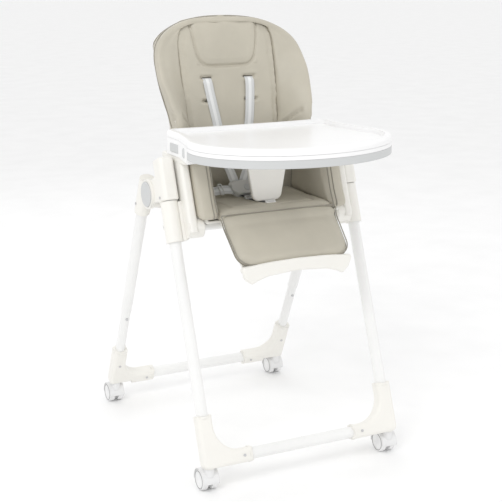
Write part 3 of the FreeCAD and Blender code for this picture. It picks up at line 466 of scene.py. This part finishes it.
def rounded_box_outline(half_u, half_v, radius, steps=5):
    """Corners of a rounded rectangle about the origin."""
    points = []
    for su, sv, start in ((1, 1, 0), (-1, 1, 90), (-1, -1, 180), (1, -1, 270)):
        for k in range(steps + 1):
            angle = math.radians(start + 90 * k / steps)
            points.append((su * (half_u - radius) + radius * math.cos(angle),
                           sv * (half_v - radius) + radius * math.sin(angle)))
    return points


def piece(item, body, replaces=()):
    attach(item, body)
    if replaces:
        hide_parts(*replaces)
    return item


# ------------------------------------------------------------------- backrest

BACK_HINGE = Vector(JOINTS["back_recline"]["pos_m"])
BACK_UP = Vector(JOINTS["recline_release"]["axis"]).normalized()
BACK_REAR = BACK_UP.cross(Vector((1, 0, 0)))


def back_point(x, y, z):
    """A point given across, behind and up the backrest from its hinge, in millimetres."""
    return BACK_HINGE + Vector((x * MM, 0, 0)) + BACK_REAR * (y * MM) + BACK_UP * (z * MM)


def back_spots(points):
    """The backrest's own coordinates of an array of points, in millimetres."""
    offset = np.asarray(points) - np.array(BACK_HINGE)
    return np.stack([offset[:, 0], offset @ np.array(BACK_REAR), offset @ np.array(BACK_UP)], axis=1) / MM


def graded(value, table):
    """Straight-line reading of a table of (value, result)."""
    return float(np.interp(value, [row[0] for row in table], [row[1] for row in table]))


PANEL_FOOT = 22
PANEL_TOP = 452.0
PANEL_CENTRE = -22.0
CROWN = 11.0


def crown(x, z):
    """How far the backrest's upper edge has dropped at a distance from its middle."""
    return CROWN * (x / 105) ** 2 * min(1.0, max(0.0, (z - 330) / 110))


def panel_half_width(z):
    if z < 392:
        return graded(z, ((20, 119), (160, 122), (200, 129), (392, 134)))
    return 86 + 48 * math.sqrt(max(0.0, 1 - ((z - 392) / (PANEL_TOP + 3 - 392)) ** 2))


def panel_edge_depth(z):
    return graded(z, ((20, -30), (150, -44), (190, -48), (330, -40), (415, -34), (PANEL_TOP, -27)))


def panel_front(u, z):
    """Depth of the panel's face, which is hollow from side to side."""
    return PANEL_CENTRE + (panel_edge_depth(z) - PANEL_CENTRE) * abs(u) ** 2.3


def back_panel():
    rings = []
    levels = [PANEL_FOOT + (PANEL_TOP - PANEL_FOOT) * k / 56 for k in range(57)]
    for z in levels:
        half = panel_half_width(z)
        front = [(u / 14 * half, panel_front(u / 14, z)) for u in range(-14, 15)]
        rear = [(u / 14 * half, -1.5 - 14 * (abs(u) / 14) ** 6) for u in range(14, -15, -1)]
        rings.append([back_point(x, y, z - crown(x, z)) for x, y in front + rear])
    panel = loft("back_panel", rings, LEATHER)
    puff(panel, 6 * MM, mostly_along(-BACK_REAR, share=0.0, behind=0.0))
    return displaced(panel, panel_seams)


HEADREST_SIDE = [(46, 326), (64, 331), (77, 346), (84, 372), (90, 410), (95, 446)]
HEADREST = [(-x, z) for x, z in reversed(HEADREST_SIDE)] + [(0, 325)] + HEADREST_SIDE
SLOTS = [(side * 60, z) for side in (-1, 1) for z in (239, 297)]


def distance_to_line(x, z, line):
    """Distance of each point to a polyline in the face of the backrest."""
    best = np.full(len(x), 1e9)
    for (ax, az), (bx, bz) in zip(line, line[1:]):
        dx, dz = bx - ax, bz - az
        t = np.clip(((x - ax) * dx + (z - az) * dz) / (dx * dx + dz * dz), 0, 1)
        best = np.minimum(best, np.hypot(x - ax - t * dx, z - az - t * dz))
    return best


def panel_seams(points):
    spots = back_spots(points)
    x, y, z = spots.T
    front = y < -12
    seam = distance_to_line(x, z, [tuple(p)[:2] for p in through([(a, b, 0) for a, b in HEADREST], 4)])
    depth = 5.0 * np.exp(-(seam / 3.2) ** 2)
    inside = (np.abs(x) < 84) & (z > 330)
    depth -= np.where(inside, 3.0 * np.clip(seam / 18, 0, 1), 0)
    for sx, sz in SLOTS:
        along = np.clip(np.abs(x - sx) - 13, 0, None)
        depth += 7.0 * np.exp(-(along / 4) ** 2 - ((z - sz) / 3.4) ** 2)
        depth -= 1.6 * np.exp(-((x - sx) / 20) ** 2 - ((np.abs(z - sz) - 9) / 5) ** 2)
    depth += 0.5 * np.sin(z / 23 + 2 * np.sin(x / 41)) * np.clip(1 - np.abs(x) / 130, 0, 1)
    shift = np.where(front, depth, 0) * MM
    return shift[:, None] * np.array(BACK_REAR)


SHELL = BVHTree.FromObject(NODES["backrest_shell"], bpy.context.evaluated_depsgraph_get())


def on_panel(x, z, lift):
    """A point a little in front of the panel's finished face."""
    start = back_point(x, -150, z)
    gone = PANEL.ray_cast(start, BACK_REAR)[3]
    return start + BACK_REAR * (gone - lift * MM)


def shell_reach(centre, direction, depth):
    """How far the shell's outside is from a centre point, in a direction across the back, at a depth."""
    ray = BACK_UP * direction[1] + Vector((direction[0], 0, 0))
    start = back_point(centre[0], depth, centre[1]) + ray * 0.5
    hit, _, _, gone = SHELL.ray_cast(start, -ray)
    return (0.5 - gone) / MM if hit else 0.0


RIM_CENTRE = 262.0
RIM_BACK = -8.0
RIM_ROWS = 9
CALMING = 12
HEM_DROPS = (16, 14.5, 10, 5)


def shell_profile(centre, direction):
    """How far out the shell is at each depth, from its back to its front edge."""
    depths = [RIM_BACK]
    reach = [shell_reach(centre, direction, RIM_BACK)]
    while depths[-1] > -140:
        found = shell_reach(centre, direction, depths[-1] - 4.0)
        if found < max(reach) - 14:
            break
        depths.append(depths[-1] - 4.0)
        reach.append(found)
    return np.array(depths), np.array(reach)


def rim_section(centre, direction, outs, tip, inner, edge_depth):
    """One ring of the cover round the shell's rim: outside, front edge, then the inner face to the panel."""
    spots = [(out + 2.2, depth) for out, depth in zip(outs, np.linspace(RIM_BACK, tip, RIM_ROWS))]
    end, front = outs[-1], tip - 9 + 4 * direction[1]
    spots += [(end + 2.6, front - 3), (end - 4, front - 6), (end - 10, front - 4.5)]
    for k in range(1, 11):
        t = k / 10
        r = (end - 14) + (inner - (end - 14)) * t
        y = front + (edge_depth - front) * t ** 1.15
        puffed = 5.0 * math.sin(math.pi * t) * (1 - t) + 16.0 * max(0, t - 0.75) / 0.25 * (1 - t)
        spots.append((r, y - puffed))
    spots += [(inner + 1, edge_depth + 10), (inner + 1, RIM_BACK), (inner + 12, -4.5)]
    return [back_point(centre[0] + direction[0] * r, y, centre[1] + direction[1] * r) for r, y in spots]


def panel_reach(direction, centre_z):
    """Where a ray across the back leaves the panel's outline."""
    best = 1.0
    for step in range(1, 460):
        x, z = direction[0] * step, centre_z + direction[1] * step
        level = z + crown(x, z)
        if level > PANEL_TOP - 3 or abs(x) > panel_half_width(level):
            break
        best = step
    return float(best)


def rim_cover():
    stations = []
    for z in (174, 182, 191, 203, 216, 230, 246):
        stations.append(((0.0, float(z)), (1.0, 0.0)))
    for k in range(37):
        angle = math.radians(90 * k / 36)
        stations.append(((0.0, RIM_CENTRE), (math.cos(angle), math.sin(angle))))
    profiles = [shell_profile(centre, direction) for centre, direction in stations]
    tips = np.array([depths[-1] for depths, reach in profiles])
    for _ in range(CALMING):
        tips[1:-1] = np.minimum(tips[1:-1], (tips[:-2] + 2 * tips[1:-1] + tips[2:]) / 4)
    outs = np.array([np.interp(-np.linspace(RIM_BACK, tip, RIM_ROWS), -depths, reach)
                     for tip, (depths, reach) in zip(tips, profiles)])
    for _ in range(CALMING):
        outs[1:-1] = np.maximum(outs[1:-1], (outs[:-2] + 2 * outs[1:-1] + outs[2:]) / 4)
    rings = []
    for (centre, direction), row, tip in zip(stations, outs, tips):
        inner = panel_reach(direction, centre[1]) - 1.5
        level = min(PANEL_TOP, centre[1] + direction[1] * inner)
        rings.append(rim_section(centre, direction, row, tip, inner, panel_edge_depth(level) - 1.0))
    rings = [[p - BACK_UP * (drop * MM) for p in rings[0]] for drop in HEM_DROPS] + rings
    mirror = [[Vector((-p.x, p.y, p.z)) for p in ring] for ring in reversed(rings[:-1])]
    cover = loft("back_rim_cover", rings + mirror, LEATHER)
    smooth(cover, 2)
    subdivide(cover)
    displaced(cover, rim_creases)
    return cover, rings


def rim_creases(points):
    spots = back_spots(points)
    x, y, z = spots.T
    inner = np.abs(x) < 0.67 * -y + 0.2118 * z + 77
    crease = distance_to_line(-y, z, [(58, 166), (84, 186), (106, 200)])
    depth = 6.0 * np.exp(-(crease / 3.6) ** 2) - 3.0 * np.exp(-((crease - 9) / 6) ** 2)
    depth += 0.9 * np.sin(z / 31 + y / 19) * np.clip((z - 180) / 60, 0, 1)
    depth *= np.where(inner & (np.abs(x) > 125), 1, 0)
    sideways = np.stack([np.sign(x), np.zeros_like(x), np.zeros_like(x)], axis=1)
    return sideways * (depth * MM)[:, None]


panel = back_panel()
PANEL = BVHTree.FromObject(panel, bpy.context.evaluated_depsgraph_get())
piece(panel, "backrest", ["back_cushion"])
cover, cover_rings = rim_cover()
piece(cover, "backrest")

for label, spot in (("back_outer_piping", 1), ("back_side_piping", 6)):
    line = [ring[spot] for ring in cover_rings]
    line = line + [Vector((-p.x, p.y, p.z)) for p in reversed(line[:-1])]
    piece(tube(label, line, 1.2 * MM, PIPING), "backrest")

# A near-black plate sunk in each harness slot stands in for the shade inside the opening.
for index, (sx, sz) in enumerate(SLOTS):
    middle = on_panel(sx, sz, -1.2)
    shade_plate = rounded_plate(
        f"strap_slot_{index}", rounded_box_outline(15.5, 2.1, 2.0), 5.0,
        lambda u, v, d: middle + Vector((u, 0, 0)) * MM + BACK_UP * (v * MM) + BACK_REAR * (d * MM),
        SLOT_SHADE, 0.0006, 2,
    )
    piece(shade_plate, "backrest")


# -------------------------------------------------------------- seat cushions


def seat_pad():
    pad = copy_of("seat_cushion", "seat_pad", LEATHER)
    low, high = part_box("seat_cushion")
    puff(pad, 6 * MM, mostly_along((0, 0, 1), share=0.3, behind=0.0))

    def channels(points):
        x, y, z = points.T / MM
        top = z > low.z / MM + 12
        lines = distance_to_line(x, y, [(-118, 70), (-110, -118), (110, -118), (118, 70)])
        depth = 2.6 * np.exp(-(lines / 3.0) ** 2)
        depth += 1.2 * np.exp(-((x + 17) / 40) ** 2 - ((y + 40) / 50) ** 2)
        shift = np.zeros_like(points)
        shift[:, 2] = -np.where(top, depth, 0) * MM
        return shift

    return displaced(pad, channels)


pad = seat_pad()
piece(pad, "seat_unit", ["seat_cushion"])


SIDE_OUTLINE = [(77, 616, 8), (70, 749, 30), (-90, 749, 34), (-125, 652, 30), (-148, 607, 10)]


def rounded(corners, steps=6):
    """The points of an outline with its corners rounded. Corners are (u, v, radius)."""
    points = []
    count = len(corners)
    for i, (u, v, radius) in enumerate(corners):
        here = Vector((u, v))
        back = (Vector(corners[i - 1][:2]) - here).normalized()
        ahead = (Vector(corners[(i + 1) % count][:2]) - here).normalized()
        half = back.angle(ahead) / 2
        start, end = here + back * (radius / math.tan(half)), here + ahead * (radius / math.tan(half))
        centre = here + (back + ahead).normalized() * (radius / math.sin(half))
        for k in range(steps + 1):
            spot = start.lerp(end, k / steps) - centre
            points.append(centre + spot.normalized() * radius)
    return points


def cushion_block(name, outline, low, high, edge, place):
    """A block with rolled edges between two levels. place turns (u, v, level) into a point."""
    count = len(outline)
    inward = []
    for i in range(count):
        along = (outline[(i + 1) % count] - outline[i - 1]).normalized()
        inward.append(Vector((-along.y, along.x)))
    middle = sum(outline, Vector((0, 0))) / count
    if inward[0].dot(middle - outline[0]) < 0:
        inward = [-n for n in inward]
    turns = [math.radians(a) for a in (0, 22, 45, 68, 90)]
    levels = [(low + edge * (1 - math.cos(a)), edge * (1 - math.sin(a))) for a in turns]
    levels += [(high - edge * (1 - math.cos(a)), edge * (1 - math.sin(a))) for a in reversed(turns)]
    rings = [[place(*(p + n * inset), level) for p, n in zip(outline, inward)] for level, inset in levels]
    return loft(name, rings, LEATHER)


for hand, sign in (("l", 1), ("r", -1)):
    inner, outer = 150.0, 195.5
    outline = rounded(SIDE_OUTLINE)
    pad = cushion_block(f"side_cushion_{hand}", outline, inner, outer, 9.0,
                        lambda y, z, x: Vector((sign * x, y, z)) * MM)
    puff(pad, 4 * MM, mostly_along((-sign, 0, 0), share=0.15, behind=0.0))
    piece(pad, "seat_unit", [f"side_pad_{hand}"])
    edge = [p for p in outline if p.y > 612]
    for label, x, out in (("inner", inner + 5.5, -1.2), ("outer", inner + 15, 0.6)):
        line = [Vector((sign * x, p.x - out * 0.8, p.y + out * 0.3)) * MM for p in edge]
        piece(tube(f"side_piping_{label}_{hand}", line, 1.5 * MM, PIPING), "seat_unit")


def corner_gusset(hand, sign):
    """Soft cover at the seat's rear corner, from the side pad to the edge of the back panel."""
    rings = []
    for k in range(13):
        z = 614 + (768 - 614) * k / 12
        up = (z - BACK_HINGE.z / MM) / BACK_UP.z
        near = Vector((sign * 168, 70, z))
        far = back_point(sign * 112, -14, up) / MM
        ring = []
        for t in range(9):
            spot = near.lerp(far, t / 8)
            bow = 9 * math.sin(math.pi * t / 8)
            ring.append((spot + Vector((sign * bow * 0.6, bow, 0))) * MM)
        for t in range(8, -1, -1):
            spot = near.lerp(far, t / 8)
            bow = 9 * math.sin(math.pi * t / 8)
            ring.append((spot + Vector((sign * (bow * 0.6 + 3), bow + 5, 0))) * MM)
        rings.append(ring)
    item = subdivide(loft(f"corner_gusset_{hand}", rings, LEATHER))
    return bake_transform(item)


corner_gusset("l", 1)
corner_gusset("r", -1)


def rear_gusset():
    """Soft cover that closes the gap between the seat cushion and the foot of the back panel."""
    face = [Vector((0, 0.072, 0.617)), Vector((0, 0.086, 0.616)), Vector((0, 0.096, 0.620)),
            back_point(0, -15, 16), back_point(0, -16, 30), back_point(0, -15, 44)]
    behind = [back_point(0, -8, 44), back_point(0, -8, 26), Vector((0, 0.104, 0.612)),
              Vector((0, 0.092, 0.609)), Vector((0, 0.072, 0.609))]
    rings = [[p + Vector((-0.150 + 0.300 * k / 30, 0, 0)) for p in face + behind] for k in range(31)]
    item = subdivide(loft("rear_gusset", rings, LEATHER))
    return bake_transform(item)


rear_gusset()


# ------------------------------------------------------------------- leg rest

CALF_HINGE = Vector(JOINTS["leg_rest_tilt"]["pos_m"])
CALF_LEAN = math.radians(46)
CALF_UP = Vector((0, math.sin(CALF_LEAN), math.cos(CALF_LEAN)))
CALF_REAR = Vector((0, math.cos(CALF_LEAN), -math.sin(CALF_LEAN)))


def calf_point(x, y, z):
    return CALF_HINGE + Vector((x * MM, 0, 0)) + CALF_REAR * (y * MM) + CALF_UP * (z * MM)


CALF_END = -124.0
KNEE = [(-133, 622.5), (-142, 622.3), (-149.5, 619.5), (-156.5, 614), (-163.5, 607.5)]


def calf_half_width(z):
    """Half the leg rest's width, down to its rounded lower corners."""
    half = 149.5 - 4.5 * min(1.0, max(0.0, -z / 122))
    if z > CALF_END + 36:
        return half
    return half - 36 + 36 * math.sqrt(max(0.0, 1 - ((CALF_END + 36 - z) / 36) ** 2))


def calf_cover():
    """One padded cover from the seat's front edge over the knee and down the leg rest."""
    stations = []
    for index, (y, z) in enumerate(KNEE):
        share = index / len(KNEE)
        stations.append((Vector((0, y, z)) * MM, 151.5 - 1.5 * share, 5 + 5 * share, share))
    for z in [-14, -20, -28, -38, -50, -62, -74, -84, -92, -99, -105, -110, -114, -117.5, -120, -122, -123.4]:
        stations.append((calf_point(0, -16, z), calf_half_width(z), 20.0, 1.0))
    rings = []
    for index, (spot, half, thick, share) in enumerate(stations):
        before, after = stations[max(index - 1, 0)][0], stations[min(index + 1, len(stations) - 1)][0]
        inward = Vector((1, 0, 0)).cross(after - before).normalized()
        ring = []
        for k in range(25):
            u = -1 + k / 12
            dip = 3.0 * abs(u) ** 8 + share * u * u
            ring.append(spot + Vector((u * half * MM, 0, 0)) + inward * (dip * MM))
        for k in range(24, -1, -1):
            u = -1 + k / 12
            ring.append(spot + Vector((u * half * MM, 0, 0)) + inward * ((thick - 2.0 * abs(u) ** 8) * MM))
        rings.append(ring)
    cover = loft("calf_cover", rings, LEATHER)
    swell = mostly_along(-CALF_REAR, share=0.0, behind=0.0)

    def hold(start, move):
        height = (start - np.array(CALF_HINGE)) @ np.array(CALF_UP) / MM
        return swell(start, move) * np.clip((-height + 2) / 30, 0, 1)[:, None]

    puff(cover, 5 * MM, hold)
    return cover


cover = calf_cover()
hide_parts("calf_cushion")
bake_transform(cover)
FRONT_CORD = -13.4
for label, depth in (("front", FRONT_CORD), ("rear", -5.0)):
    side = [(calf_half_width(z) + 0.6, z) for z in (-16, -40, -64, -86, -96, -106, -114, -119.5, -122.6)]
    side += [(90, CALF_END - 0.4), (0, CALF_END - 0.6)]
    path = [calf_point(x, depth, z) for x, z in side]
    drop = depth - FRONT_CORD
    path = [Vector((151.6, -150.5 + drop * 0.6, 617.5 - drop * 0.8)) * MM,
            Vector((151.2, -158 + drop * 0.7, 611.5 - drop * 0.7)) * MM] + path
    path += [Vector((-p.x, p.y, p.z)) for p in reversed(path[:-1])]
    cord = tube(f"calf_piping_{label}", through(path, 4), 1.4 * MM, PIPING)
    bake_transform(cord)
line = [Vector((x, -150.6, 619.6)) * MM for x in np.linspace(-151, 151, 31)]
piece(tube("seat_front_piping", line, 1.5 * MM, PIPING), "seat_unit")


# -------------------------------------------------------------------- harness

STRAP_WIDTH = 25 * MM
STRAP_THICK = 1.6 * MM

BUCKLE_IN = Vector(JOINTS["buckle_press"]["axis"]).normalized()
BUCKLE_UP = Vector((1, 0, 0)).cross(BUCKLE_IN)
BUCKLE_LOW, BUCKLE_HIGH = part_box("harness_buckle")
BUCKLE_MIDDLE = (BUCKLE_LOW + BUCKLE_HIGH) / 2


def buckle_point(u, v, out):
    """A point across, up and out of the buckle's face, in millimetres from its middle."""
    return BUCKLE_MIDDLE + (Vector((u, 0, 0)) + BUCKLE_UP * v - BUCKLE_IN * out) * MM


def frame_ring(name, half_u, half_v, bar, thick, place, material):
    """A rectangular slide ring with soft edges. place turns (u, v, depth) into a point."""
    corners = [(half_u, half_v), (-half_u, half_v), (-half_u, -half_v), (half_u, -half_v)]
    outer = rounded([(u, v, 3) for u, v in corners], 3)
    inner = [Vector((p.x * (half_u - bar) / half_u, p.y * (half_v - bar) / half_v)) for p in outer]
    loops = [(outer, -thick / 2), (outer, thick / 2), (inner, thick / 2), (inner, -thick / 2)]
    count = len(outer)
    points = [place(p.x, p.y, d) for loop, d in loops for p in loop]
    faces = []
    for i in range(4):
        a, b = i * count, ((i + 1) % 4) * count
        faces += [(a + k, a + (k + 1) % count, b + (k + 1) % count, b + k) for k in range(count)]
    return bevelled(mesh_object(name, points, faces, material), 0.0006, 2)


def shoulder_strap(name, side, path, landing):
    points = [back_point(side * 59, PANEL_CENTRE + 9, 297)]
    points += [on_panel(side * 59, 295, 0.6), on_panel(side * 58.5, 285, 2.0)]
    points += [on_panel(x, z, 3.0) for x, z in path]
    points += [back_point(path[-1][0] * 0.9 + landing.x / MM * 0.1, -52, 92), landing]
    item = band(name, through(points, 6), (1, 0, 0), STRAP_WIDTH, STRAP_THICK, STRAP)
    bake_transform(item)
    return item


left_strap = shoulder_strap("shoulder_strap_left", 1, [(57, 255), (51, 200), (43, 145)],
                            buckle_point(12, 19, -1))
shoulder_strap("shoulder_strap_right", -1, [(-54, 255), (-44, 200), (-35, 145)], buckle_point(-12, 19, 2))
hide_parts("shoulder_straps")

for label, side, anchor in (("left", 1, (0.066, 0.070, 0.630)), ("right", -1, (-0.156, 0.020, 0.652))):
    start = Vector(anchor)
    end = buckle_point(side * 24, -1, 0)
    middle = start.lerp(end, 0.5) + Vector((0, 0.002, -0.005))
    line = through([start, start.lerp(end, 0.25), middle, start.lerp(end, 0.78), end], 8)
    item = band(f"waist_strap_{label}", line, tuple(BUCKLE_UP), STRAP_WIDTH, STRAP_THICK, STRAP)
    piece(item, "seat_unit", ["waist_straps"])
    centre = start.lerp(end, 0.72)
    ring = frame_ring(
        f"waist_slider_{label}", 5.5, 16.5, 2.6, 3.4,
        lambda u, v, d: centre + (Vector((u, 0, 0)) + BUCKLE_UP * v - BUCKLE_IN * (d + 1.2)) * MM, BUCKLE,
    )
    piece(ring, "seat_unit")

ears = rounded([(-31, 7.6, 3), (-31, 17, 5), (-22, 22, 5), (22, 22, 5), (31, 17, 5), (31, 7.6, 3)], 4)
shroud = rounded_plate("buckle_shroud", [tuple(p) for p in ears], 11.0,
                       lambda u, v, d: buckle_point(u, v, d - 0.5), BUCKLE, 0.0022, 4)
piece(shroud, "seat_unit")
shield = rounded([(-24, 14, 6), (24, 14, 6), (26, -6, 8), (13, -18, 7), (-13, -18, 7), (-26, -6, 8)], 5)
edge = [buckle_point(p.x, p.y, 8.4) for p in shield]
rim = tube("buckle_rim", edge, 1.0 * MM, BUCKLE, sides=8, closed=True)
piece(rim, "seat_unit")

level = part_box("crotch_strap")[1].z + 3.2 * MM
crotch_line = through([
    buckle_point(2, -16, -3),
    Vector((BUCKLE_MIDDLE.x + 4 * MM, BUCKLE_LOW.y - 6 * MM, level + 3 * MM)),
    Vector((-0.018, -0.052, level)),
    Vector((-0.008, -0.082, level - 0.5 * MM)),
    Vector((0.004, -0.104, level - 1.5 * MM)),
], 8)
item = band("crotch_webbing", crotch_line, (1, 0.25, 0), STRAP_WIDTH, 1.8 * MM, DARK_STRAP)
piece(item, "seat_unit", ["crotch_strap"])
for label, index, grow, finish in (("crotch_slider", 13, 1.0, BUCKLE), ("crotch_end_ring", 31, 0.8, LABEL)):
    centre = crotch_line[index]
    ring = frame_ring(
        label, 17 * grow, 9 * grow, 3.0, 4.0,
        lambda u, v, d: centre + Vector((u + v * 0.25, v, d + 2 + 0.1 * v)) * MM, finish,
    )
    piece(ring, "seat_unit")


# -------------------------------------------------------------------- castors

RING_RADIUS = 21 * MM
CIRCLE = [(RING_RADIUS * math.cos(a), RING_RADIUS * math.sin(a))
          for a in (2 * math.pi * k / 40 for k in range(40))]

for wheels in (f"castor_wheels_{end}_{hand}" for end in ("front", "rear") for hand in "lr"):
    low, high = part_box(wheels)
    middle = (low + high) / 2
    for face, x, out in (("in", low.x, -1), ("out", high.x, 1)):
        circle = [Vector((x + out * 0.2 * MM, middle.y + y, middle.z + z)) for y, z in CIRCLE]
        name = wheels.replace("castor_wheels", "castor_ring") + f"_{face}"
        piece(tube(name, circle, 0.9 * MM, RING, sides=8, closed=True), wheels)


# --------------------------------------------------------------------- studio

camera = bpy.data.objects.new("camera", bpy.data.cameras.new("camera"))
scene.collection.objects.link(camera)
camera.location = (-1.2272, -2.4765, 1.1931)
target = Vector((0, 0, 0.4845))
camera.rotation_mode = "QUATERNION"
camera.rotation_quaternion = (target - camera.location).to_track_quat("-Z", "Y")
camera.data.lens = 81.1
camera.data.sensor_width = 36
scene.camera = camera


def softbox(name, place, aim, size, power):
    light = bpy.data.lights.new(name, "AREA")
    light.shape = "DISK"
    light.size = size
    light.energy = power
    item = bpy.data.objects.new(name, light)
    scene.collection.objects.link(item)
    item.location = place
    item.rotation_euler = (Vector(aim) - Vector(place)).to_track_quat("-Z", "Y").to_euler()


softbox("key_light", (-2.2, -2.0, 3.0), (0, 0, 0.55), 1.6, 30)
softbox("fill_light", (2.6, -1.6, 1.8), (0, 0, 0.5), 2.4, 5)
softbox("rim_light", (0.4, 2.6, 2.4), (0, 0, 0.7), 2.0, 8)
world = bpy.data.worlds.new("studio")
world.use_nodes = True
world.node_tree.nodes["Background"].inputs["Color"].default_value = (1, 1, 1, 1)
world.node_tree.nodes["Background"].inputs["Strength"].default_value = 0.95
scene.world = world
scene.view_settings.view_transform = "Standard"

FLOOR = moulding("floor", (0.95, 0.95, 0.95), 0.7, grain=60, edge=0.001)
reach = 60
corners = [(-reach, -reach, 0), (reach, -reach, 0), (reach, reach, 0), (-reach, reach, 0)]
floor = mesh_object("studio_floor", corners, [(0, 1, 2, 3)], FLOOR)
